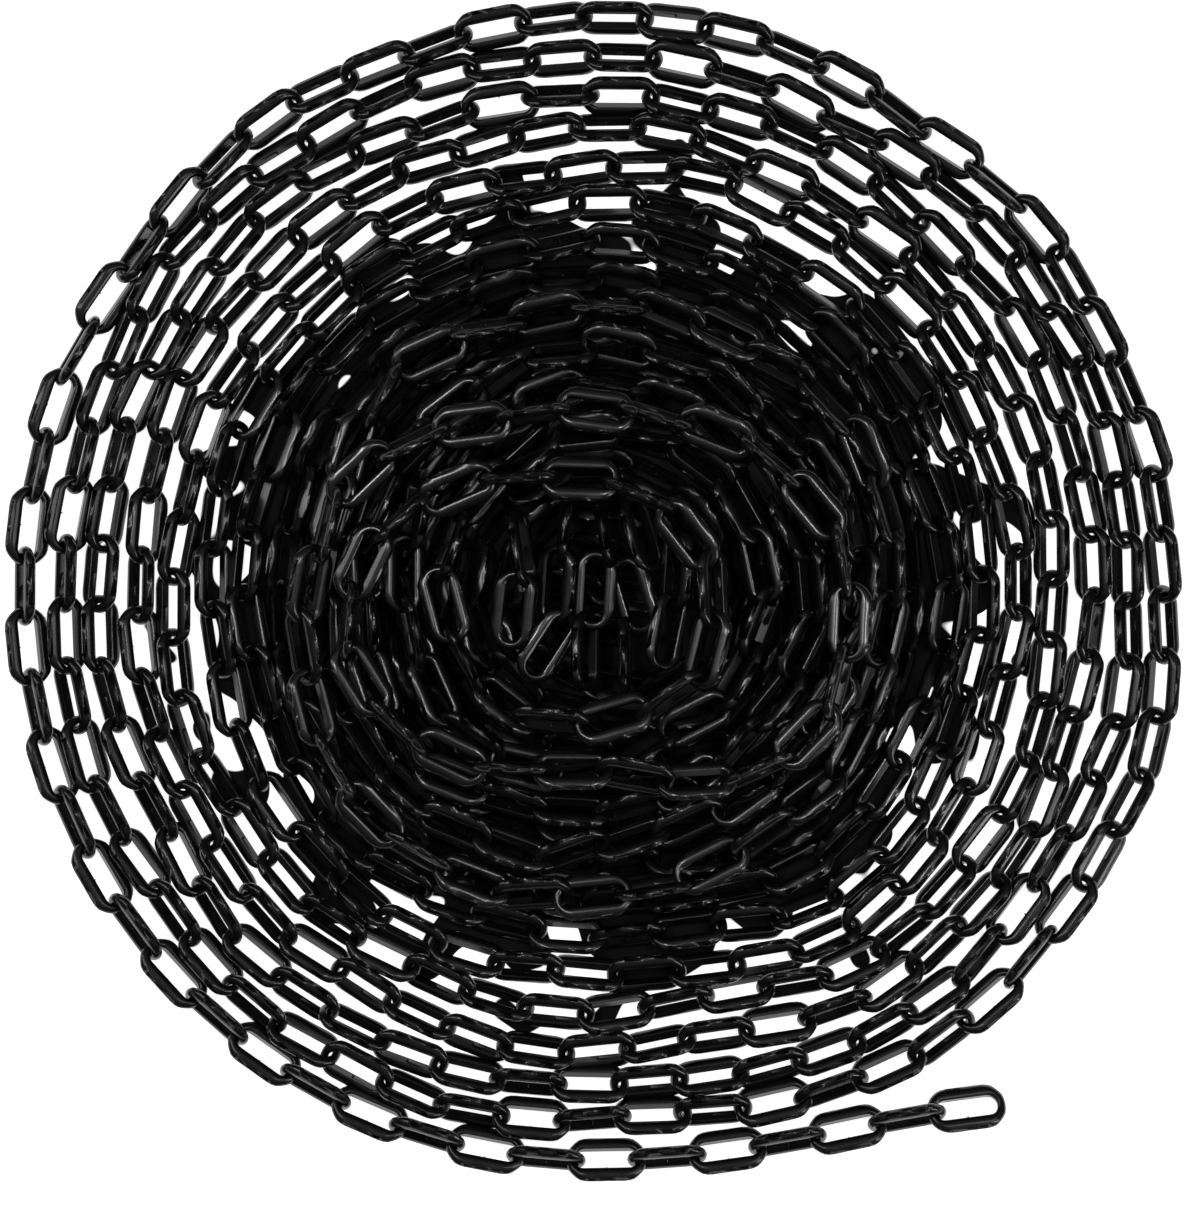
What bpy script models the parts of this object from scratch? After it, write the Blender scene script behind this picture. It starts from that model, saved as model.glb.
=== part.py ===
"""Heap of plastic barrier chain: one chain wound flat in a spiral, and heaped on itself in the middle.

Metres, +Z up, standing on z = 0. The spiral runs clockwise seen from above, from the free end inward.
"""

import math
import random

import bmesh
import bpy
from mathutils import Matrix, Vector

# Link of 8 mm barrier chain
LINK_LENGTH = 0.052
LINK_WIDTH = 0.029
SIDE_WIDTH = 0.008
BOW_WIDTH = 0.0053
THICKNESS = 0.0075
INNER_FACE = 0.0062
BOW_FACE = 0.0030
BOW_THICKNESS = 0.0064
PLAIN_CORNERS = 4
FULL_CORNERS = 6
FACING_IN = 0.9
PITCH = 0.0395
HALVINGS = 40

# Lie of the links: a flatter and a steeper roll by turns, at right angles to each other
FLAT_ROLL = 28.0
STEEP_ROLL = -61.0
ROLL_SPREAD = 5.0
ROLL_SEED = 11
LOOSE_SPREAD = 2.0
END_LINK_ROLL = 22.0
STEEP_FROM = 45.0
PIVOT_HEIGHT = 0.0126
FLAT_DROP = 0.0012
LOOSE_DROP = 0.0013
JOINING_DROP = 0.0008
TAUT_SHIFT = 0.0007

# Free end, from its last link to where it joins the outer turn: bearing of each link in degrees
TAIL_BEARINGS = (6.6, 10.0, 12.0, 10.0, 8.0, 4.0, 1.0)
END_LINK_TIP = 0.0085

# Turns on the floor
OUTER_RADIUS = 0.371
TURN_SPACING = 0.0240
START_ANGLE = -91.9
STEP_START = 318.0
STEP_END = 348.0
FLOOR_TURNS = 7
SEPARATE_LINKS = 25
RUN_LINKS = 18

# Middle of the heap
LAYER_HEIGHT = 0.0268
CORE_CLEARANCE = 0.0003
CORE_EDGE = 0.0088
CORE_RIDGE = 0.0055
CORE_VALLEY = 0.010
CORE_TURNS = 7
CORE_TURN_POINTS = 36
CORE_STEP = 2.0
HEAP_INNER_RADIUS = 0.092
HEAP_SPACING = 0.027
HEAP_TURNS = 4
HEAP_START_ANGLE = -115.0
HEAP_LOBES = ((2, 0.020, 30.0), (3, 0.012, 80.0))
HEAP_ROLLS = (36.0, -54.0)
HEAP_SPREAD = 8.0
HEAP_RUN_LINKS = 16
MIDDLE_RUNS = (2, 3, 3, 3, 2)
MIDDLE_BEARING = 82.0
MIDDLE_SPACING = 0.025

# Length thrown on the heap: x and y in mm, and how far it has climbed from the second layer to the third
TOP_POINTS = (
    (-177, 16, 1), (-165, 53, 1), (-142, 82, 1), (-111, 99, 1), (-75, 107, 1), (-36, 113, 1), (3, 115, 1),
    (44, 111, 1), (84, 99, 1), (120, 76, 1), (146, 43, 1), (161, 6, 1), (163, -32, 1), (152, -70, 1),
    (129, -100, 1), (97, -118, 1), (60, -122, 1), (23, -116, 1), (-16, -114, 1), (-57, -114, 1),
    (-97, -107, 1), (-131, -87, 1), (-154, -54, 1), (-159, -15, 1), (-146, 22, 1), (-120, 51, 1),
    (-83, 67, 1), (-44, 73, 1), (-5, 71, 1), (34, 58, 1), (64, 31, 1), (78, -6, 1), (71, -46, 1),
    (42, -73, 1), (4, -84, 1), (-35, -83, 1), (-73, -73, 1), (-107, -51, 1),
)
TOP_CLIMB = ((22.0, 0.1995, 0.37), (44.0, 0.195, 0.71), (64.0, 0.188, 0.92))
TOP_SETTLE = 0.0021
TOP_ROLLS = (13.0, -75.0)
TOP_DROP = -0.0002
TOP_RUN_LINKS = 12
TOP_SHIFT = -0.0005
TOP_TAUT_SHIFT = 0.0003
TOP_REACH = 2.0

PLASTIC_BLACK = (0.006, 0.006, 0.0065, 1.0)
PLASTIC_ROUGHNESS = 0.38


def clear_scene():
    for old in list(bpy.data.objects):
        bpy.data.objects.remove(old)


def plastic(name):
    material = bpy.data.materials.new(name)
    material.use_nodes = True
    shader = material.node_tree.nodes["Principled BSDF"]
    shader.inputs["Base Color"].default_value = PLASTIC_BLACK
    shader.inputs["Roughness"].default_value = PLASTIC_ROUGHNESS
    shader.inputs["Metallic"].default_value = 0.0
    return material


# Link

def oval(bm, half_length, half_width, end_corners, height, bow_height=0.0):
    """Loop of edges: a long oval, each end an arc of end_corners points, or square with two."""
    loop = bmesh.ops.create_circle(bm, segments=2 * end_corners, radius=1.0)["verts"]
    straight = half_length - half_width
    first = math.pi / (2 * end_corners - 2) if end_corners > 2 else 0.0
    for index, vert in enumerate(loop):
        side = 1 if index < end_corners else -1
        angle = math.pi * ((index % end_corners) / (end_corners - 1) - 0.5)
        if end_corners > 2:
            x = straight + half_width * math.cos(angle) / math.cos(first)
        else:
            x = half_length
        level = bow_height if 0 < index % end_corners < end_corners - 1 else height
        vert.co = Vector((side * x, side * half_width * math.sin(angle), level))
    return list({edge for vert in loop for edge in vert.link_edges})


def loft(bm, loops):
    """Skin the loops one after the other and back to the first, as a closed ring."""
    for near, far in zip(loops, loops[1:] + loops[:1]):
        bmesh.ops.bridge_loops(bm, edges=near + far)
    bmesh.ops.recalc_face_normals(bm, faces=bm.faces)


def inner_loop(bm, end_corners, side):
    half_length = LINK_LENGTH / 2 - BOW_WIDTH
    half_width = LINK_WIDTH / 2 - SIDE_WIDTH
    return oval(bm, half_length, half_width, end_corners, side * INNER_FACE / 2, side * BOW_FACE / 2)


def plain_link():
    """Link with a three-sided bar: a flat inner face and an edge along the outside."""
    bm = bmesh.new()
    rim = oval(bm, LINK_LENGTH / 2, LINK_WIDTH / 2, PLAIN_CORNERS, 0.0)
    loft(bm, [inner_loop(bm, 2, 1), rim, inner_loop(bm, 2, -1)])
    return finish_mesh(bm, "plain_link")


def full_link():
    """Link with a five-sided bar: a flat inner face, two shoulders and an edge along the outside."""
    bm = bmesh.new()
    rim = oval(bm, LINK_LENGTH / 2, LINK_WIDTH / 2, FULL_CORNERS, 0.0)
    loops = [inner_loop(bm, FULL_CORNERS, 1), shoulder_loop(bm, 1), rim]
    loops += [shoulder_loop(bm, -1), inner_loop(bm, FULL_CORNERS, -1)]
    loft(bm, loops)
    return finish_mesh(bm, "full_link")


def shoulder_loop(bm, side):
    half_length = (LINK_LENGTH - BOW_WIDTH) / 2
    half_width = (LINK_WIDTH - SIDE_WIDTH) / 2
    return oval(bm, half_length, half_width, FULL_CORNERS, side * THICKNESS / 2, side * BOW_THICKNESS / 2)


def finish_mesh(bm, name):
    mesh = bpy.data.meshes.new(name)
    bm.to_mesh(mesh)
    bm.free()
    return mesh


# Path of the chain: pivots where each link passes the next

def floor_radius(travel):
    """Radius after travel degrees: level round the turn, then one spacing inward at its end."""
    turn, part = divmod(travel, 360.0)
    step = min(max((part - STEP_START) / (STEP_END - STEP_START), 0.0), 1.0)
    return OUTER_RADIUS - TURN_SPACING * (turn + step * step * (3 - 2 * step))


def polar(radius, angle, height):
    bearing = math.radians(angle)
    return Vector((radius * math.cos(bearing), radius * math.sin(bearing), height))


def walk(path, travel, stop, reach=60.0):
    """Pivots along path from travel up to stop, one pitch apart and less than reach, and their travels."""
    pivots = []
    travels = []
    far = travel
    while far < stop:
        pivots.append(path(far))
        travels.append(far)
        near, far = far, far + reach
        for _ in range(HALVINGS):
            middle = (near + far) / 2
            if (path(middle) - pivots[-1]).length < PITCH:
                near = middle
            else:
                far = middle
    return pivots, travels


def floor_path(travel):
    return polar(floor_radius(travel), START_ANGLE - travel, PIVOT_HEIGHT)


def floor_pivots():
    """Pivots of the free end and the floor turns, and the travel in degrees of each."""
    tail = [floor_path(0.0)]
    for bearing in reversed(TAIL_BEARINGS):
        tail.append(tail[-1] + polar(PITCH, bearing, 0.0))
    tail[-1].z = END_LINK_TIP
    pivots, travels = walk(floor_path, 0.0, 360.0 * FLOOR_TURNS)
    return tail[:0:-1] + pivots, [0.0] * len(TAIL_BEARINGS) + travels


def swell(angle, lobes):
    """Factor on a heaped turn's radius, which is larger here and smaller there round the turn."""
    return 1 + sum(size * math.sin(math.radians(count * angle + phase)) for count, size, phase in lobes)


def heap_path(travel):
    """Second layer: a spiral outward on the hidden turns."""
    angle = HEAP_START_ANGLE - travel
    radius = HEAP_INNER_RADIUS + HEAP_SPACING * travel / 360.0
    return polar(radius * swell(angle, HEAP_LOBES), angle, LAYER_HEIGHT + PIVOT_HEIGHT)


def top_points(end):
    """Points that the length on top passes through: off the second layer, at travel end, then as thrown."""
    low = LAYER_HEIGHT + PIVOT_HEIGHT
    height = LAYER_HEIGHT - TOP_SETTLE
    points = [heap_path(end - TOP_CLIMB[0][0]), heap_path(end)]
    for turned, radius, climbed in TOP_CLIMB:
        angle = HEAP_START_ANGLE - end - turned
        points.append(polar(radius * swell(angle, HEAP_LOBES), angle, low + height * climbed))
    return points + [Vector((x / 1000, y / 1000, low + height * climbed)) for x, y, climbed in TOP_POINTS]


def smooth_path(points):
    """Path through all points but the first and last: one unit of travel from each to the next."""
    def path(travel):
        index = min(int(travel), len(points) - 4)
        part = travel - index
        before, start, end, after = points[index : index + 4]
        curve = 2 * before - 5 * start + 4 * end - after
        bend = 3 * start - before - 3 * end + after
        return start + ((end - before) * part + curve * part**2 + bend * part**3) / 2

    return path


def middle_pivots(row, count):
    """Pivots of a short straight length of chain, one of the rows across the middle of the second layer."""
    step = polar(PITCH, MIDDLE_BEARING, 0.0)
    aside = (row - (len(MIDDLE_RUNS) - 1) / 2) * MIDDLE_SPACING
    middle = polar(aside, MIDDLE_BEARING - 90.0, LAYER_HEIGHT + PIVOT_HEIGHT)
    return [middle + step * (index - count / 2) for index in range(count + 1)]


# Links along the path

def roll_of(index, noise, spread, rolls=(FLAT_ROLL, STEEP_ROLL)):
    return rolls[index % 2] + noise.uniform(-spread, spread)


def link_matrix(start, end, roll, drop):
    """Place of one link: x along the chain, y across the link, z through its eye."""
    heading = (end - start).normalized()
    level = Vector((0, 0, 1)).cross(heading).normalized()
    upward = heading.cross(level)
    angle = math.radians(roll)
    across = level * math.cos(angle) + upward * math.sin(angle)
    if abs(roll) > STEEP_FROM:
        lift = LINK_WIDTH / 2 * abs(math.sin(angle)) - PIVOT_HEIGHT
    else:
        lift = -drop
    centre = (start + end) / 2 + Vector((0, 0, lift))
    columns = (heading, across, heading.cross(across), centre)
    rows = [[column[row] for column in columns] for row in range(3)]
    return Matrix(rows + [[0, 0, 0, 1]])


def strand_places(pivots, noise, first=0, rolls=(FLAT_ROLL, STEEP_ROLL), spread=ROLL_SPREAD, drop=FLAT_DROP):
    """Places of the links along a path, the first of them counted as number first."""
    places = []
    for index, (start, end) in enumerate(zip(pivots[first:], pivots[first + 1 :]), first):
        places.append(link_matrix(start, end, roll_of(index, noise, spread, rolls), drop))
    return places


def floor_places(pivots, noise):
    """Places of the free end's separate links, rolled alike, and then of all links on the floor."""
    places = [link_matrix(pivots[0], pivots[1], END_LINK_ROLL, LOOSE_DROP)]
    for index in range(1, SEPARATE_LINKS):
        roll = roll_of(index, noise, LOOSE_SPREAD)
        drop = LOOSE_DROP if index < SEPARATE_LINKS - 1 else JOINING_DROP
        places.append(link_matrix(pivots[index], pivots[index + 1], roll, drop))
    return places + strand_places(pivots, noise, SEPARATE_LINKS)


# Objects

def add_object(name, mesh, material, collection):
    if not mesh.materials:
        mesh.materials.append(material)
    part = bpy.data.objects.new(name, mesh)
    collection.objects.link(part)
    return part


def eye_end(faces, side):
    """The flat inner face of a link's bow at one end, side 1 or -1."""
    facing = [face for face in faces if side * face.normal.x <= -FACING_IN]
    return max(facing, key=lambda face: side * face.calc_center_median().x)


def fused_strand(name, places, link, material, collection):
    """One solid of the links at places, each joined to the next where their bows bear on each other."""
    bm = bmesh.new()
    bearing = []
    for place in places:
        known = set(bm.verts)
        known_faces = set(bm.faces)
        bm.from_mesh(link)
        faces = [face for face in bm.faces if face not in known_faces]
        bearing.append((eye_end(faces, -1), eye_end(faces, 1)))
        verts = [vert for vert in bm.verts if vert not in known]
        bmesh.ops.transform(bm, matrix=place, verts=verts)
    for (_, near), (far, _) in zip(bearing, bearing[1:]):
        edges = list(near.edges) + list(far.edges)
        bmesh.ops.delete(bm, geom=[near, far], context="FACES_ONLY")
        bmesh.ops.bridge_loops(bm, edges=edges)
    bmesh.ops.recalc_face_normals(bm, faces=bm.faces)
    return add_object(name, finish_mesh(bm, name), material, collection)


def strand_runs(name, places, count, shifts, link, material, collection):
    """One fused solid for each count links; shifts move its first link, in the first run and in the rest."""
    for run, start in enumerate(range(0, len(places), count)):
        chosen = places[start : start + count]
        chosen[0] = chosen[0] @ Matrix.Translation((shifts[min(run, 1)], 0, 0))
        fused_strand(f"{name}_{run + 1:02d}", chosen, link, material, collection)


def separate_links(places, link, material, collection):
    for number, place in enumerate(places, 1):
        part = add_object(f"link_{number:02d}", link, material, collection)
        part.matrix_world = place


def hidden_core(start, material, collection):
    """Core for the hidden inner turns: one ridge to a turn, winding in from travel start to a flat middle."""
    bm = bmesh.new()

    def corner(step, aside, height):
        travel = start + 360.0 * step / CORE_TURN_POINTS
        return bm.verts.new(polar(floor_radius(travel) + aside, START_ANGLE - travel, height))

    around = CORE_TURN_POINTS
    last = around * CORE_TURNS
    top = LAYER_HEIGHT - CORE_CLEARANCE
    outer = [corner(step, CORE_RIDGE, top) for step in range(last + 1)]
    inner = [corner(step, -CORE_RIDGE, top) for step in range(last + 1)]
    foot = [corner(step, CORE_EDGE, 0.0) for step in range(around)]
    foot.append(corner(around, TURN_SPACING / 2, 0.0))
    valley = [corner(around + step, TURN_SPACING / 2, CORE_VALLEY) for step in range(last - around + 1)]
    for step in range(last):
        bm.faces.new((outer[step], outer[step + 1], inner[step + 1], inner[step]))
        if step < last - around:
            bm.faces.new((inner[step], inner[step + 1], valley[step + 1], valley[step]))
        if step < around - 1:
            bm.faces.new((foot[step], foot[step + 1], outer[step + 1], outer[step]))
        elif step >= around:
            bm.faces.new((valley[step - around], valley[step - around + 1], outer[step + 1], outer[step]))
    bm.faces.new((foot[around - 1], foot[around], valley[0], outer[around], outer[around - 1]))
    bm.faces.new((foot[0], outer[0], inner[0], valley[0], foot[around]))
    bm.faces.new((inner[last - around], valley[last - around], outer[last]))
    bm.faces.new(inner[last - around :] + [outer[last]])
    bm.faces.new(foot)
    bmesh.ops.recalc_face_normals(bm, faces=bm.faces)
    return add_object("hidden_chain_core", finish_mesh(bm, "hidden_chain_core"), material, collection)


def build():
    clear_scene()
    collection = bpy.data.collections.new("barrier_chain_heap")
    bpy.context.scene.collection.children.link(collection)
    noise = random.Random(ROLL_SEED)
    black = plastic("black_chain_plastic")
    plain = plain_link()
    full = full_link()

    floor, travels = floor_pivots()
    places = floor_places(floor, noise)
    separate_links(places[:SEPARATE_LINKS], full, black, collection)
    strand_runs("floor_run", places[SEPARATE_LINKS:], RUN_LINKS, (0.0, TAUT_SHIFT), plain, black, collection)
    hidden_core(travels[-1] + CORE_STEP, black, collection)

    heap, travels = walk(heap_path, 0.0, 360.0 * HEAP_TURNS)
    places = strand_places(heap, noise, 0, HEAP_ROLLS, HEAP_SPREAD)
    strand_runs("heap_run", places, HEAP_RUN_LINKS, (0.0, 0.0), plain, black, collection)

    points = top_points(travels[-1])
    top, _ = walk(smooth_path(points), 0.0, len(points) - 3, TOP_REACH)
    places = strand_places(top, noise, 0, TOP_ROLLS, ROLL_SPREAD, TOP_DROP)
    strand_runs("top_run", places, TOP_RUN_LINKS, (TOP_SHIFT, TOP_TAUT_SHIFT), full, black, collection)

    for row, count in enumerate(MIDDLE_RUNS):
        places = strand_places(middle_pivots(row, count), noise, 0, HEAP_ROLLS, HEAP_SPREAD)
        fused_strand(f"middle_run_{row + 1}", places, plain, black, collection)


build()
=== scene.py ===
"""Looks of the heap of black plastic barrier chain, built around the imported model. Metres, +Z up."""

import math
import random

import bmesh
import bpy
from mathutils import Matrix, Vector


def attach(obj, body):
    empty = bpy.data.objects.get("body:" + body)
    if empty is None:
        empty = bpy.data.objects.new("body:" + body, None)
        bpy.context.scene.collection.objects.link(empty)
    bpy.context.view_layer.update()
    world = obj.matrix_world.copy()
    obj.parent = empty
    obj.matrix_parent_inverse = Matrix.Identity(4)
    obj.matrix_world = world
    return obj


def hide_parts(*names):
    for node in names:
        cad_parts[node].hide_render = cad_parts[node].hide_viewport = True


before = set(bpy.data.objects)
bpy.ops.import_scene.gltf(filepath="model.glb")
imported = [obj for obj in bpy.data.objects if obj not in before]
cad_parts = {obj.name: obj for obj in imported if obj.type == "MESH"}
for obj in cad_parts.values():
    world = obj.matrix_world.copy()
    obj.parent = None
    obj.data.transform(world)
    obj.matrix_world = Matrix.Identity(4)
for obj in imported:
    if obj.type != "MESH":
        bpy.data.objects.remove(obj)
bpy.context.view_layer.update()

# One link of the chain
#
# The real link is injection moulded in one shot: two thick side bars with a flat inner face, joined by two
# thinner round bows. The mould parts along the middle of the bar, which leaves a fine ridge all round, and
# the gate leaves a small nib inside one side bar.

LINK_LENGTH = 0.052
LINK_WIDTH = 0.029
SIDE_WIDTH = 0.008
BOW_WIDTH = 0.0053
SIDE_THICKNESS = 0.0075
BOW_THICKNESS = 0.0064
SIDE_INNER_FACE = 0.0058
BOW_INNER_FACE = 0.0026
# The flat face narrows this many times sooner than the bar thins towards the bow
FACE_NARROWING = 3
# Roughly how far it is once round the bar, which sets the width of the flow streaks
BAR_GIRTH = 3 * SIDE_THICKNESS
# How far from its middle the side bar has one more ring of points
SIDE_BREAK = 0.012
# How far the bow's outside is squared, from round at 0 to straight facets at 1, and the angle of a facet
CORNER_CUT = 0.35
CORNER_STEP = math.pi / 4
BOW_STEPS = 7
HIDDEN_BOW_STEPS = 3
NIB_HEIGHT = 0.0020
NIB_WIDTH = 0.0008
RIDGE_WIDTH = 0.0004
RIDGE_HEIGHT = 0.0001

# From the flat inner face over the top of the bar to the ridge outside: how far across, and how high
CROWN = 0.33
BAR_PROFILE = ((0.05, 0.93), (CROWN, 1.0), (0.56, 0.94), (0.76, 0.77), (0.91, 0.50), (0.98, 0.24))
HIDDEN_PROFILE = ((CROWN, 1.0), (0.91, 0.50))
# Points round the bar, counted from the middle of its inner face: the face's edges, and those of the nib
FACE_EDGES = (2, -2)
NIB_EDGES = (0, 1, -1)


def eased(part):
    """Part of the way, from 0 to 1, with a gentle start and end."""
    return part * part * (3 - 2 * part)


def bar_ring(bm, inner, outer, thickness, inner_face, nib, profile):
    """Vertices once round the bar's section, which reaches from its inner to its outer outline."""
    inner = Vector(inner)
    width = (Vector(outer) - inner).length
    across = (Vector(outer) - inner) / width
    ease = (thickness - inner_face) / thickness
    upper = [(0.0, NIB_WIDTH), (0.0, inner_face / 2)]
    for part, height in profile:
        height -= max(0.0, CROWN - part) * ease
        upper.append((part * width, height * thickness / 2))
    upper.append((width, RIDGE_WIDTH / 2))
    lower = [(far, -high) for far, high in reversed(upper)]
    ring = [(-nib, 0.0)] + upper + [(width + RIDGE_HEIGHT, 0.0)] + lower
    return [bm.verts.new((*(inner + across * far), high)) for far, high in ring]


def bow_outline(steps, cut):
    """Inner and outer outline points from the bow's middle to the side bar, with how far into the bow."""
    points = []
    inner_radius = LINK_WIDTH / 2 - SIDE_WIDTH
    inner_middle = LINK_LENGTH / 2 - BOW_WIDTH - inner_radius
    outer_middle = (LINK_LENGTH - LINK_WIDTH) / 2
    for step in range(steps + 1):
        turn = math.pi / 2 * step / steps
        inner = (inner_middle + inner_radius * math.cos(turn), inner_radius * math.sin(turn))
        facet = math.cos((turn + CORNER_STEP / 2) % CORNER_STEP - CORNER_STEP / 2)
        radius = LINK_WIDTH / 2 * (1 - cut + cut / facet)
        x = min(outer_middle + radius * math.cos(turn), LINK_LENGTH / 2)
        points.append((inner, (x, min(radius * math.sin(turn), LINK_WIDTH / 2)), 1 - step / steps))
    return points


def moulded_link(name, steps, profile, end_cut=CORNER_CUT):
    """Mesh of one link, lying flat, its length along x; end_cut squares the outer corners of one bow."""
    along_side = (SIDE_BREAK, NIB_WIDTH, 0.0)
    sides = [((x, LINK_WIDTH / 2 - SIDE_WIDTH), (x, LINK_WIDTH / 2), 0.0) for x in along_side]
    right = bow_outline(steps, end_cut) + sides
    left = [
        ((-inner[0], inner[1]), (-outer[0], outer[1]), bow)
        for inner, outer, bow in bow_outline(steps, CORNER_CUT) + sides[:-1]
    ]
    half = right + left[::-1]
    other_half = [
        ((inner[0], -inner[1]), (outer[0], -outer[1]), bow) for inner, outer, bow in reversed(half[1:-1])
    ]
    outline = half + other_half
    bm = bmesh.new()
    along = bm.loops.layers.uv.new("along_the_bar")
    rings = []
    for number, (inner, outer, bow) in enumerate(outline):
        ease = eased(bow)
        thickness = SIDE_THICKNESS + (BOW_THICKNESS - SIDE_THICKNESS) * ease
        face = SIDE_INNER_FACE + (BOW_INNER_FACE - SIDE_INNER_FACE) * min(1.0, FACE_NARROWING * ease)
        nib = NIB_HEIGHT if number == len(right) - 1 else 0.0
        rings.append(bar_ring(bm, inner, outer, thickness, face, nib, profile))
    count = len(rings[0])
    length = [0.0]
    for (_, near, _), (_, far, _) in zip(outline, outline[1:] + outline[:1]):
        length.append(length[-1] + (Vector(far) - Vector(near)).length)
    for number, (ring, after) in enumerate(zip(rings, rings[1:] + rings[:1])):
        for index in range(count):
            following = (index + 1) % count
            face = bm.faces.new((ring[index], ring[following], after[following], after[index]))
            face.smooth = True
            corners = ((number, index), (number, index + 1), (number + 1, index + 1), (number + 1, index))
            for loop, (far, round_it) in zip(face.loops, corners):
                loop[along].uv = (length[far], round_it * BAR_GIRTH / count)
        # The flat face has crisp edges, and so has the nib, or it would bend the shading of the whole face
        for index in FACE_EDGES:
            bm.edges.get((ring[index], after[index])).smooth = False
        if len(right) - 2 <= number < len(right):
            for index in NIB_EDGES:
                bm.edges.get((ring[index], after[index])).smooth = False
            for edge in ring[0].link_edges:
                edge.smooth = False
    bmesh.ops.recalc_face_normals(bm, faces=bm.faces)
    mesh = bpy.data.meshes.new(name)
    bm.to_mesh(mesh)
    bm.free()
    return mesh


# Black polyethylene of the links
#
# Chain like this is moulded in high-density polyethylene coloured through with carbon black. It comes out of
# the mould satin, a little waxy, with fine flow streaks on the flat faces and light scuffs on the outside.


def linear(code):
    """Linear RGBA of an sRGB hex colour."""
    values = [int(code[place : place + 2], 16) / 255 for place in (1, 3, 5)]
    return tuple(v / 12.92 if v <= 0.04045 else ((v + 0.055) / 1.055) ** 2.4 for v in values) + (1.0,)


def add_node(tree, kind, links=(), **settings):
    """Add a node. Settings are its own or its sockets', _ for a space; links are what feeds its sockets."""
    node = tree.nodes.new(kind)
    for name, value in settings.items():
        if hasattr(node, name) and name not in node.inputs:
            setattr(node, name, value)
        else:
            node.inputs[name.replace("_", " ")].default_value = value
    for socket, source in links:
        tree.links.new(source, node.inputs[socket])
    return node


def pattern_scale(millimetres):
    """Scale of a pattern whose marks are this large."""
    return 1000 / millimetres


BLACK = "#070707"
SCUFFED = "#0c0c0b"
POLYETHYLENE_IOR = 1.53
# Roughness of the moulded skin, which varies a little with the flow, and where it is scuffed
GLOSS = (0.21, 0.23)
DULL = 0.27
SCUFF_MM = 18.0
SCUFF_RANGE = (0.45, 0.80)
# Real flow streaks are a few tenths of a millimetre wide, too fine to show, so these are drawn coarser
FLOW_WIDTH_MM = 2.0
FLOW_LENGTH_MM = 24.0
FLOW_RANGE = (0.3, 0.7)
RIPPLE_STRENGTH = 0.01
RIPPLE_DEPTH = 0.00008
NOISE_DETAIL = 2.0
# Sockets of the Mix node that share their names with others
COLOUR_A = 6
COLOUR_B = 7
COLOUR_OUT = 2
VALUE_A = 2
VALUE_B = 3
VALUE_OUT = 0


def black_polyethylene():
    """Moulded HDPE, carbon black: satin black, slightly grey and duller where it is scuffed."""
    material = bpy.data.materials.new("black_moulded_polyethylene")
    material.use_nodes = True
    tree = material.node_tree
    shader = tree.nodes["Principled BSDF"]
    shader.inputs["IOR"].default_value = POLYETHYLENE_IOR
    place = add_node(tree, "ShaderNodeTexCoord").outputs["Object"]
    bar = add_node(tree, "ShaderNodeUVMap", uv_map="along_the_bar").outputs["UV"]
    # Scuffs, in patches over the whole heap
    scuffs = add_node(
        tree, "ShaderNodeTexNoise", [("Vector", place)], Scale=pattern_scale(SCUFF_MM), Detail=NOISE_DETAIL,
    )
    worn = add_node(
        tree, "ShaderNodeMapRange", [("Value", scuffs.outputs["Fac"])],
        From_Min=SCUFF_RANGE[0], From_Max=SCUFF_RANGE[1], To_Min=0.0, To_Max=1.0,
    )
    colour = add_node(tree, "ShaderNodeMix", [("Factor", worn.outputs["Result"])], data_type="RGBA")
    colour.inputs[COLOUR_A].default_value = linear(BLACK)
    colour.inputs[COLOUR_B].default_value = linear(SCUFFED)
    tree.links.new(colour.outputs[COLOUR_OUT], shader.inputs["Base Color"])
    # Flow streaks, drawn out along each bar
    drawn_out = add_node(
        tree, "ShaderNodeMapping", [("Vector", bar)],
        Scale=(pattern_scale(FLOW_LENGTH_MM), pattern_scale(FLOW_WIDTH_MM), 1.0),
    )
    flow = add_node(
        tree, "ShaderNodeTexNoise", [("Vector", drawn_out.outputs["Vector"])], Scale=1.0, Detail=NOISE_DETAIL,
    )
    gloss = add_node(
        tree, "ShaderNodeMapRange", [("Value", flow.outputs["Fac"])],
        From_Min=FLOW_RANGE[0], From_Max=FLOW_RANGE[1], To_Min=GLOSS[0], To_Max=GLOSS[1],
    )
    duller = add_node(
        tree, "ShaderNodeMix", [("Factor", worn.outputs["Result"]), (VALUE_A, gloss.outputs["Result"])],
    )
    duller.inputs[VALUE_B].default_value = DULL
    tree.links.new(duller.outputs[VALUE_OUT], shader.inputs["Roughness"])
    ripple = add_node(
        tree, "ShaderNodeBump", [("Height", flow.outputs["Fac"])],
        Strength=RIPPLE_STRENGTH, Distance=RIPPLE_DEPTH,
    )
    tree.links.new(ripple.outputs["Normal"], shader.inputs["Normal"])
    return material


polyethylene = black_polyethylene()
link_mesh = moulded_link("moulded_link", BOW_STEPS, BAR_PROFILE)
end_link_mesh = moulded_link("moulded_end_link", BOW_STEPS, BAR_PROFILE, end_cut=0.0)
hidden_link_mesh = moulded_link("moulded_hidden_link", HIDDEN_BOW_STEPS, HIDDEN_PROFILE)

# Lie of the links along the chain
#
# Each link hangs in the next at a pivot, one pitch on. On a floor the links fall over to one side by turns,
# one flatter and one steeper, so the chain lies about as high as a link is wide.

PITCH = 0.0395
FLOOR_ROLLS = (28.0, -61.0)
ROLL_SPREAD = 5.0
# Degrees of roll past which a link stands on the edge of its side bar
STEEP_FROM = 45.0
# Height of the pivots over the floor, and how far below them the middle of a flatter link lies
PIVOT_HEIGHT = 0.0126
FLAT_DROP = 0.0012
# Degrees of travel that one pitch never needs, and how often that is halved to find the next pivot
TURN_REACH = 60.0
HALVINGS = 40
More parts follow.
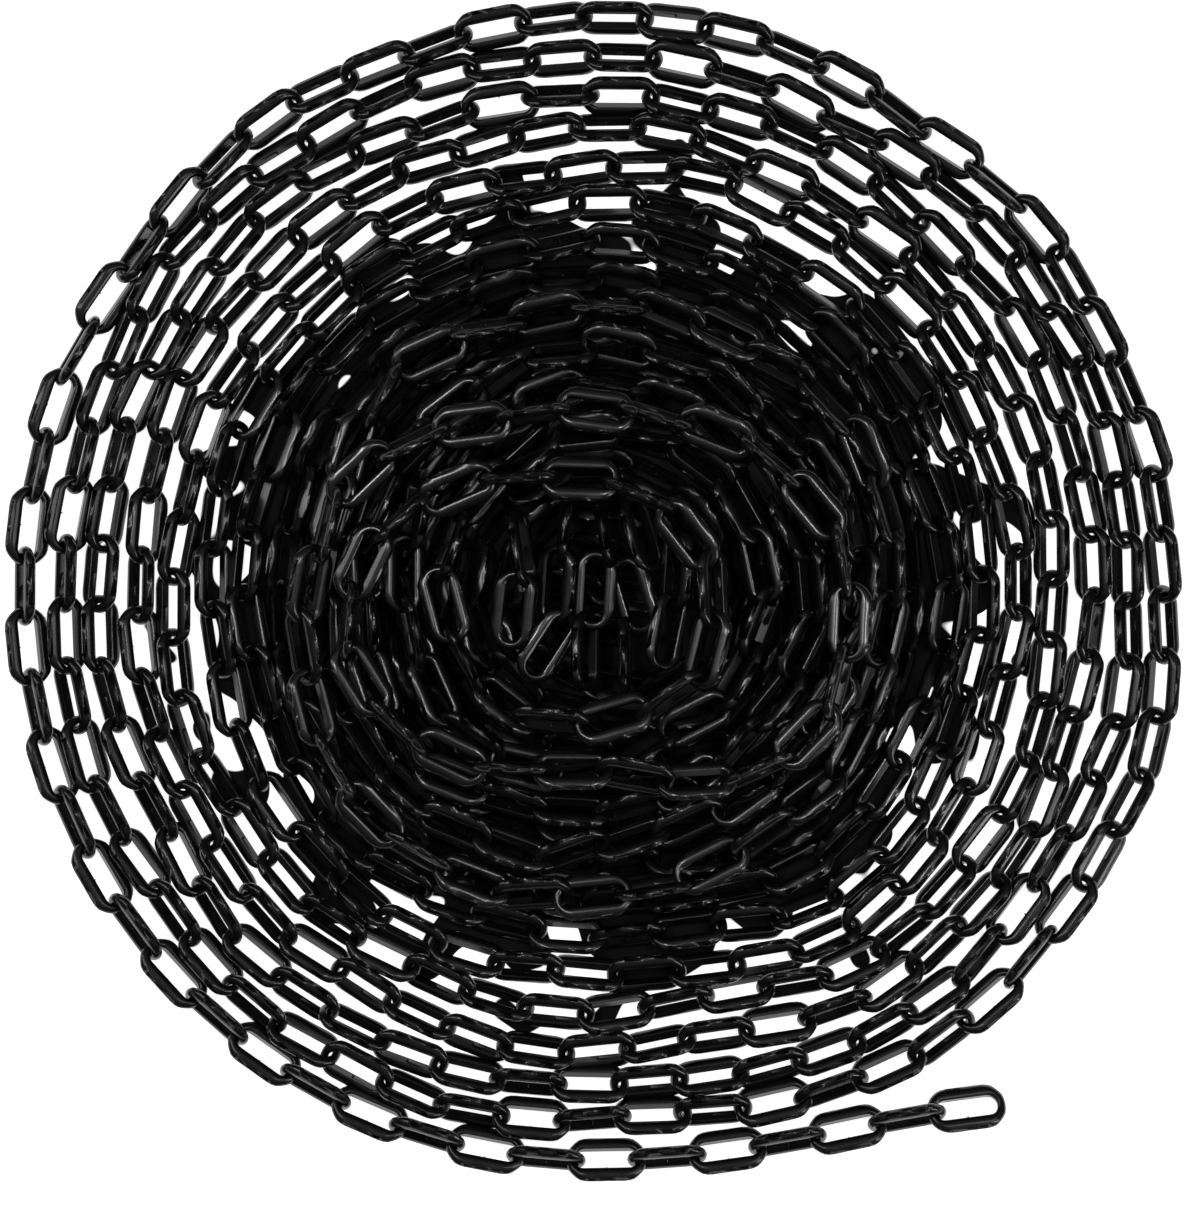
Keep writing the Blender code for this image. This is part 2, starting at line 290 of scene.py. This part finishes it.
# Lengths, in links, of the waves in which the chain wanders, and the height their sum rarely passes
WAVE_LINKS = (17.3, 7.9, 4.6)
WAVE_PEAK = 2
# Links over which the sway fades away at both ends of a path
SWAY_EASE = 4
YAW_PER_TILT = 3
# The streaks are shifted by up to this many metres, so that no two links have the same ones
PATTERN_SHIFT = 9
ASKEW_SEED = 3


def polar(radius, angle, height):
    """Point at a radius and an angle round the middle of the heap, or a step of that length that way."""
    bearing = math.radians(angle)
    return Vector((radius * math.cos(bearing), radius * math.sin(bearing), height))


def walk(path, travel, stop, reach=TURN_REACH):
    """Pivots along path from travel up to stop, one pitch apart and less than reach, and their travels."""
    pivots = []
    travels = []
    far = travel
    while far < stop:
        pivots.append(path(far))
        travels.append(far)
        near, far = far, far + reach
        for _ in range(HALVINGS):
            middle = (near + far) / 2
            if (path(middle) - pivots[-1]).length < PITCH:
                near = middle
            else:
                far = middle
    return pivots, travels


# Draws for the unevenness that only the looks have
askew = random.Random(ASKEW_SEED)


def roll_of(index, noise, spread, rolls=FLOOR_ROLLS):
    """How far a link is rolled over: one way and the other by turns, give or take spread."""
    return rolls[index % 2] + noise.uniform(-spread, spread)


def link_matrix(start, end, roll, drop):
    """Place of one link: x along the chain, y across the link, z through its eye."""
    heading = (end - start).normalized()
    level = Vector((0, 0, 1)).cross(heading).normalized()
    upward = heading.cross(level)
    angle = math.radians(roll)
    across = level * math.cos(angle) + upward * math.sin(angle)
    if abs(roll) > STEEP_FROM:
        lift = LINK_WIDTH / 2 * abs(math.sin(angle)) - PIVOT_HEIGHT
    else:
        lift = -drop
    centre = (start + end) / 2 + Vector((0, 0, lift))
    columns = (heading, across, heading.cross(across), centre)
    rows = [[column[row] for column in columns] for row in range(3)]
    return Matrix(rows + [[0, 0, 0, 1]])


def uneven_waves(count):
    """A value for each of count links, about -1 to 1, that rises and falls unevenly along the chain."""
    phases = [askew.uniform(0.0, 2 * math.pi) for _ in WAVE_LINKS]
    values = []
    for index in range(count):
        parts = [math.sin(phase + 2 * math.pi * index / links) for phase, links in zip(phases, WAVE_LINKS)]
        values.append(sum(parts) / WAVE_PEAK)
    return values


def swayed(pivots, sway):
    """The pivots shifted aside by up to about sway, less and less towards both ends."""
    last = len(pivots) - 1
    shifted = []
    for index, (pivot, wave) in enumerate(zip(pivots, uneven_waves(len(pivots)))):
        along = pivots[min(index + 1, last)] - pivots[max(index - 1, 0)]
        aside = Vector((0, 0, 1)).cross(along).normalized()
        ease = min(1.0, index / SWAY_EASE, (last - index) / SWAY_EASE)
        shifted.append(pivot + aside * (sway * wave * ease))
    return shifted


def strand_places(
    pivots, noise, rolls, spread, drop=FLAT_DROP, first=0, twist=5.0, sway=0.0015, yaw=3.0, press=(0.0, 0.0),
):
    """Places of the links along a path, the first of them counted as number first.

    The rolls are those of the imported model. Twist and yaw in degrees, and sway, are how unevenly they lie.
    Press is by how many degrees the flatter links are pushed up, and the steeper ones over, at the
    first link and at the last.
    """
    places = []
    twists = uneven_waves(len(pivots))
    pivots = swayed(pivots[first:], sway)
    for index, (start, end) in enumerate(zip(pivots, pivots[1:]), first):
        pressed = press[0] + (press[1] - press[0]) * index / len(twists)
        roll = roll_of(index, noise, spread, rolls) + twist * twists[index] + pressed
        place = link_matrix(start, end, roll, drop)
        turn = Matrix.Rotation(math.radians(askew.uniform(-yaw, yaw)), 4, "Z")
        tilt = Matrix.Rotation(math.radians(askew.uniform(-yaw, yaw) / YAW_PER_TILT), 4, "Y")
        middle = Matrix.Translation(place.translation)
        places.append(middle @ turn @ middle.inverted() @ place @ tilt)
    return places


def chain_piece(name, places, node, link=link_mesh):
    """One piece of the links at places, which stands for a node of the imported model."""
    bm = bmesh.new()
    for place in places:
        known = len(bm.verts)
        known_faces = len(bm.faces)
        bm.from_mesh(link)
        bm.verts.ensure_lookup_table()
        bm.faces.ensure_lookup_table()
        bmesh.ops.transform(bm, matrix=place, verts=bm.verts[known:])
        along = bm.loops.layers.uv[0]
        shift = Vector((askew.uniform(0, PATTERN_SHIFT), askew.uniform(0, PATTERN_SHIFT)))
        for face in bm.faces[known_faces:]:
            for loop in face.loops:
                loop[along].uv += shift
    mesh = bpy.data.meshes.new(name)
    for vert in bm.verts:
        vert.co.z = max(vert.co.z, 0.0)
    bm.to_mesh(mesh)
    bm.free()
    mesh.materials.append(polyethylene)
    piece = bpy.data.objects.new(name, mesh)
    bpy.context.scene.collection.objects.link(piece)
    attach(piece, "root")
    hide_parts(node)


def chain_pieces(name, places, count, shifts):
    """Pieces for the links along a path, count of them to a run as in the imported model.

    Shifts are how far along the chain the first link of the first run lies, and that of each later run.
    """
    for run, start in enumerate(range(0, len(places), count)):
        chosen = places[start : start + count]
        chosen[0] = chosen[0] @ Matrix.Translation((shifts[min(run, 1)], 0, 0))
        chain_piece(f"chain_{name}_{run + 1:02d}", chosen, f"{name}_{run + 1:02d}")


# Free end and outer turns on the floor
#
# The chain comes in from its free end and runs clockwise along the floor, seven turns that lie side by side
# and step inward at the lower right.

# Which way the links of the free end run, in degrees, from its tip inward
TAIL_BEARINGS = (6.6, 10.0, 12.0, 10.0, 8.0, 4.0, 1.0)
END_LINK_TIP = 0.0085
END_LINK_ROLL = 22.0
LOOSE_SPREAD = 2.0
LOOSE_DROP = 0.0013
JOINING_DROP = 0.0008
OUTER_RADIUS = 0.371
TURN_SPACING = 0.0240
START_ANGLE = -91.9
# Where each turn steps inward, in degrees from its start
STEP_START = 318.0
STEP_END = 348.0
FLOOR_TURNS = 7
SEPARATE_LINKS = 25
RUN_LINKS = 18
TAUT_SHIFT = 0.0007
ROLL_SEED = 11


def floor_path(travel):
    """Level round each turn, then one spacing inward at its end."""
    turn, part = divmod(travel, 360.0)
    step = min(max((part - STEP_START) / (STEP_END - STEP_START), 0.0), 1.0)
    radius = OUTER_RADIUS - TURN_SPACING * (turn + eased(step))
    return polar(radius, START_ANGLE - travel, PIVOT_HEIGHT)


tail = [floor_path(0.0)]
for bearing in reversed(TAIL_BEARINGS):
    tail.append(tail[-1] + polar(PITCH, bearing, 0.0))
tail[-1].z = END_LINK_TIP
outer_pivots, outer_travels = walk(floor_path, 0.0, 360.0 * FLOOR_TURNS)
floor_pivots = tail[:0:-1] + outer_pivots

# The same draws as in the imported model, in the same order
noise = random.Random(ROLL_SEED)
loose_places = [link_matrix(floor_pivots[0], floor_pivots[1], END_LINK_ROLL, LOOSE_DROP)]
for index in range(1, SEPARATE_LINKS):
    roll = roll_of(index, noise, LOOSE_SPREAD)
    drop = LOOSE_DROP if index < SEPARATE_LINKS - 1 else JOINING_DROP
    loose_places.append(link_matrix(floor_pivots[index], floor_pivots[index + 1], roll, drop))
floor_places = strand_places(
    floor_pivots, noise, FLOOR_ROLLS, ROLL_SPREAD, first=SEPARATE_LINKS, twist=15.0, sway=0.003, yaw=4.0,
    press=(11.0, 20.0),
)

for number, place in enumerate(loose_places, 1):
    shape = end_link_mesh if number == 1 else link_mesh
    chain_piece(f"chain_link_{number:02d}", [place], f"link_{number:02d}", shape)
chain_pieces("floor_run", floor_places, RUN_LINKS, (0.0, TAUT_SHIFT))

# Second layer: turns heaped on the inner ones
#
# The chain comes up in the middle of the coil and winds outward again over its own inner turns, in turns
# that aren't quite round.

LAYER_HEIGHT = 0.0268
HEAP_INNER_RADIUS = 0.092
HEAP_SPACING = 0.027
HEAP_TURNS = 4
HEAP_START_ANGLE = -115.0
# Lobes of a turn: how many there are round it, how large, and where they lie
HEAP_LOBES = ((2, 0.020, 30.0), (3, 0.012, 80.0))
HEAP_ROLLS = (36.0, -54.0)
HEAP_SPREAD = 8.0
HEAP_RUN_LINKS = 16


def swell(angle, lobes):
    """Factor on a heaped turn's radius, which is larger here and smaller there round the turn."""
    return 1 + sum(size * math.sin(math.radians(count * angle + phase)) for count, size, phase in lobes)


def heap_path(travel):
    """Round the inner turns, and outward by one spacing a turn."""
    angle = HEAP_START_ANGLE - travel
    radius = HEAP_INNER_RADIUS + HEAP_SPACING * travel / 360.0
    return polar(radius * swell(angle, HEAP_LOBES), angle, LAYER_HEIGHT + PIVOT_HEIGHT)


heap_pivots, heap_travels = walk(heap_path, 0.0, 360.0 * HEAP_TURNS)
heap_places = strand_places(heap_pivots, noise, HEAP_ROLLS, HEAP_SPREAD, twist=30.0, sway=0.005, yaw=11.0)
chain_pieces("heap_run", heap_places, HEAP_RUN_LINKS, (0.0, 0.0))

# Length thrown on top
#
# From the second layer's outer end the chain climbs over its neighbour and lies across the heap in one long
# loose loop, then dips into the hollow in the middle.

# Where the loop lies: x and y in millimetres from the middle of the heap
TOP_POINTS = (
    (-177, 16), (-165, 53), (-142, 82), (-111, 99), (-75, 107), (-36, 113), (3, 115), (44, 111), (84, 99),
    (120, 76), (146, 43), (161, 6), (163, -32), (152, -70), (129, -100), (97, -118), (60, -122),
    (23, -116), (-16, -114), (-57, -114), (-97, -107), (-131, -87), (-154, -54), (-159, -15), (-146, 22),
    (-120, 51), (-83, 67), (-44, 73), (-5, 71), (34, 58), (64, 31), (78, -6), (71, -46), (42, -73),
    (4, -84), (-35, -83), (-73, -73), (-107, -51),
)
# On its way up there: travel past the second layer's end, radius, and how much of the climb is done
TOP_CLIMB = ((22.0, 0.1995, 0.37), (44.0, 0.195, 0.71), (64.0, 0.188, 0.92))
# How far the length on top sinks in between the links below
TOP_SETTLE = 0.0021
TOP_ROLLS = (13.0, -75.0)
TOP_DROP = -0.0002
TOP_RUN_LINKS = 12
TOP_SHIFT = -0.0005
TOP_TAUT_SHIFT = 0.0003
TOP_REACH = 2.0


def top_points(end):
    """Points that the length on top passes through: off the second layer, at travel end, then as thrown."""
    low = LAYER_HEIGHT + PIVOT_HEIGHT
    height = LAYER_HEIGHT - TOP_SETTLE
    points = [heap_path(end - TOP_CLIMB[0][0]), heap_path(end)]
    for turned, radius, climbed in TOP_CLIMB:
        angle = HEAP_START_ANGLE - end - turned
        points.append(polar(radius * swell(angle, HEAP_LOBES), angle, low + height * climbed))
    return points + [Vector((x / 1000, y / 1000, low + height)) for x, y in TOP_POINTS]


def smooth_path(points):
    """Path through all points but the first and last: one unit of travel from each to the next."""
    def path(travel):
        index = min(int(travel), len(points) - 4)
        part = travel - index
        before, start, end, after = points[index : index + 4]
        curve = 2 * before - 5 * start + 4 * end - after
        bend = 3 * start - before - 3 * end + after
        return start + ((end - before) * part + curve * part**2 + bend * part**3) / 2

    return path


thrown = top_points(heap_travels[-1])
top_pivots, _ = walk(smooth_path(thrown), 0.0, len(thrown) - 3, TOP_REACH)
top_places = strand_places(top_pivots, noise, TOP_ROLLS, ROLL_SPREAD, TOP_DROP, twist=24.0, yaw=8.0)
chain_pieces("top_run", top_places, TOP_RUN_LINKS, (TOP_SHIFT, TOP_TAUT_SHIFT))

# Rows across the middle
#
# In the hollow inside the second layer the chain lies folded to and fro in short straight rows. They rest
# on the turns below, and nothing holds them but the links around them.

MIDDLE_RUNS = (2, 3, 3, 3, 2)
MIDDLE_BEARING = 82.0
MIDDLE_ASIDE = -8.0
ROW_SPACING = 0.025


def row_pivots(row, rows, bearing, aside, height):
    """Pivots of one of the rows: short straight lengths of chain at bearing, side by side towards aside."""
    step = polar(PITCH, bearing, 0.0)
    middle = polar((row - (len(rows) - 1) / 2) * ROW_SPACING, aside, height)
    return [middle + step * (index - rows[row] / 2) for index in range(rows[row] + 1)]


for row in range(len(MIDDLE_RUNS)):
    pivots = row_pivots(row, MIDDLE_RUNS, MIDDLE_BEARING, MIDDLE_ASIDE, LAYER_HEIGHT + PIVOT_HEIGHT)
    places = strand_places(pivots, noise, HEAP_ROLLS, HEAP_SPREAD, twist=45.0, yaw=26.0)
    chain_piece(f"chain_middle_run_{row + 1}", places, f"middle_run_{row + 1}")

# Inner turns on the floor, under the heap
#
# The coil goes on inward beneath the heap, turn beside turn, and ends in short rows in the middle. Its links
# are pressed over to 45 degrees. They show only as dark bars in the gaps of the layers above.

HIDDEN_TURNS = 7
LAST_TURN_SHORT = 60.0
HIDDEN_REACH = 90.0
HIDDEN_ROLLS = (45.0, -45.0)
CENTRE_ROWS = (1, 2, 1)
CENTRE_BEARING = -8.0
CENTRE_ASIDE = 82.0

hidden_stop = 360.0 * (FLOOR_TURNS + HIDDEN_TURNS) - LAST_TURN_SHORT
hidden_pivots, _ = walk(floor_path, outer_travels[-1], hidden_stop, HIDDEN_REACH)
hidden_places = strand_places(hidden_pivots, noise, HIDDEN_ROLLS, ROLL_SPREAD)
for row in range(len(CENTRE_ROWS)):
    pivots = row_pivots(row, CENTRE_ROWS, CENTRE_BEARING, CENTRE_ASIDE, PIVOT_HEIGHT)
    hidden_places += strand_places(pivots, noise, HIDDEN_ROLLS, ROLL_SPREAD)
chain_piece("chain_inner_turns", hidden_places, "hidden_chain_core", hidden_link_mesh)

# Studio
#
# A table of opal acrylic lit from beneath, with painted shade under the heap: a wavy-edged patch where the
# table is black and gives no light, in place of the heap's own shade, so that no light comes up through the
# links there. Soft boxes and low strips stand on either side, two small dishes are aimed at the middle, and
# the camera is straight above.

TABLE_SIZE = 12.0
TABLE_WHITE = "#f2f2f2"
TABLE_ROUGHNESS = 0.8
TABLE_SHINE = 0.2
GLOW = 1.0
# Painted shade: the table is black under the heap, in place of the shade the heap casts
PAINTED_SHADE_BLACK = "#050505"
# Radius of the painted shade under the heap, how far its edge waves in and out and over what length, and how
# soft it is
PAINTED_SHADE_RADIUS = 0.250
PAINTED_SHADE_WAVES = 0.16
PAINTED_SHADE_WAVE_MM = 38.0
PAINTED_SHADE_EDGE = 0.002
NOISE_MEAN = 0.5

# Name, place, width, length and watts
SOFT_BOXES = (
    ("soft_box_left", (-0.85, 0.25, 1.7), 0.25, 1.2, 4.0),
    ("soft_box_right", (0.85, -0.05, 1.7), 0.25, 1.2, 3.0),
    ("strip_low_right", (1.15, -0.75, 0.75), 0.12, 0.9, 4.0),
    ("strip_low_left", (-1.15, 0.35, 0.75), 0.12, 0.9, 2.0),
)
# Name, place and watts
DISHES = (("dish_left", (-0.45, 0.30, 1.7), 24.0), ("dish_right", (0.40, 0.10, 1.7), 18.0))
DISH_RADIUS = 0.07
DISH_BEAM = 24.0

# The walls are dark up to the first height and the ceiling pale from the second, as sines of the angle up
WALL_TOP = 0.45
CEILING_EDGE = 0.85
WALL_LIGHT = 0.04
CEILING_LIGHT = 0.22


def light_table():
    """The table that the heap lies on, painted black in the middle as shade under the heap, and glowing white
    outside it.
    """
    bpy.ops.mesh.primitive_plane_add(size=TABLE_SIZE)
    table = bpy.context.object
    table.name = "light_table"
    material = bpy.data.materials.new("opal_acrylic_lit_from_beneath_with_painted_heap_shade")
    material.use_nodes = True
    tree = material.node_tree
    shader = tree.nodes["Principled BSDF"]
    shader.inputs["Roughness"].default_value = TABLE_ROUGHNESS
    shader.inputs["Specular IOR Level"].default_value = TABLE_SHINE
    shader.inputs["Emission Color"].default_value = linear(TABLE_WHITE)
    place = add_node(tree, "ShaderNodeTexCoord").outputs["Object"]
    away = add_node(tree, "ShaderNodeVectorMath", [(0, place)], operation="LENGTH")
    waves = add_node(
        tree, "ShaderNodeTexNoise", [("Vector", place)], Scale=pattern_scale(PAINTED_SHADE_WAVE_MM), Detail=0.0,
    )
    centred = add_node(tree, "ShaderNodeMath", [(0, waves.outputs["Fac"])], operation="SUBTRACT")
    centred.inputs[1].default_value = NOISE_MEAN
    uneven = add_node(
        tree, "ShaderNodeMath", [(0, centred.outputs["Value"]), (2, away.outputs["Value"])],
        operation="MULTIPLY_ADD",
    )
    uneven.inputs[1].default_value = PAINTED_SHADE_WAVES
    # The glow stops under the heap, where shade is painted in its place
    glow = add_node(
        tree, "ShaderNodeMapRange", [("Value", uneven.outputs["Value"])],
        From_Min=PAINTED_SHADE_RADIUS, From_Max=PAINTED_SHADE_RADIUS + PAINTED_SHADE_EDGE, To_Min=0.0, To_Max=GLOW,
    )
    tree.links.new(glow.outputs["Result"], shader.inputs["Emission Strength"])
    # Painted shade: black base colour under the heap, white outside it
    painted_shade = add_node(tree, "ShaderNodeMix", [("Factor", glow.outputs["Result"])], data_type="RGBA")
    painted_shade.inputs[COLOUR_A].default_value = linear(PAINTED_SHADE_BLACK)
    painted_shade.inputs[COLOUR_B].default_value = linear(TABLE_WHITE)
    tree.links.new(painted_shade.outputs[COLOUR_OUT], shader.inputs["Base Color"])
    table.data.materials.append(material)


def aimed_lamp(name, spot, kind, watts):
    """Light at spot, facing the middle of the heap; returns its settings."""
    light = bpy.data.lights.new(name, kind)
    light.energy = watts
    lamp = bpy.data.objects.new(name, light)
    lamp.location = spot
    lamp.rotation_euler = (-Vector(spot)).to_track_quat("-Z", "Y").to_euler()
    bpy.context.scene.collection.objects.link(lamp)
    return light


light_table()
for name, spot, width, length, watts in SOFT_BOXES:
    box = aimed_lamp(name, spot, "AREA", watts)
    box.shape = "RECTANGLE"
    box.size = width
    box.size_y = length
for name, spot, watts in DISHES:
    dish = aimed_lamp(name, spot, "SPOT", watts)
    dish.shadow_soft_size = DISH_RADIUS
    dish.spot_size = math.radians(DISH_BEAM)
    dish.spot_blend = 1.0

world = bpy.data.worlds.new("studio_walls")
world.use_nodes = True
tree = world.node_tree
toward = add_node(tree, "ShaderNodeTexCoord").outputs["Generated"]
upward = add_node(tree, "ShaderNodeSeparateXYZ", [("Vector", toward)]).outputs["Z"]
brightness = add_node(
    tree, "ShaderNodeMapRange", [("Value", upward)],
    From_Min=WALL_TOP, From_Max=CEILING_EDGE, To_Min=WALL_LIGHT, To_Max=CEILING_LIGHT,
)
tree.nodes["Background"].inputs["Color"].default_value = (1.0, 1.0, 1.0, 1.0)
tree.links.new(brightness.outputs["Result"], tree.nodes["Background"].inputs["Strength"])
bpy.context.scene.world = world
# The plain transform keeps the table white and the plastic black, as in the photo
bpy.context.scene.view_settings.view_transform = "Standard"

CAMERA_HEIGHT = 2.2
# What the photo spans from top to bottom, at the height of the links' pivots
FRAME_HEIGHT = 0.7846
SENSOR = 36.0
# Middle of the photo on the floor, a little off the middle of the heap
PHOTO_MIDDLE = (0.00325, -0.0088)

eye = bpy.data.cameras.new("camera")
eye.sensor_width = SENSOR
eye.lens = SENSOR * (CAMERA_HEIGHT - PIVOT_HEIGHT) / FRAME_HEIGHT
camera = bpy.data.objects.new("camera", eye)
camera.location = (PHOTO_MIDDLE[0], PHOTO_MIDDLE[1], CAMERA_HEIGHT)
bpy.context.scene.collection.objects.link(camera)
bpy.context.scene.camera = camera
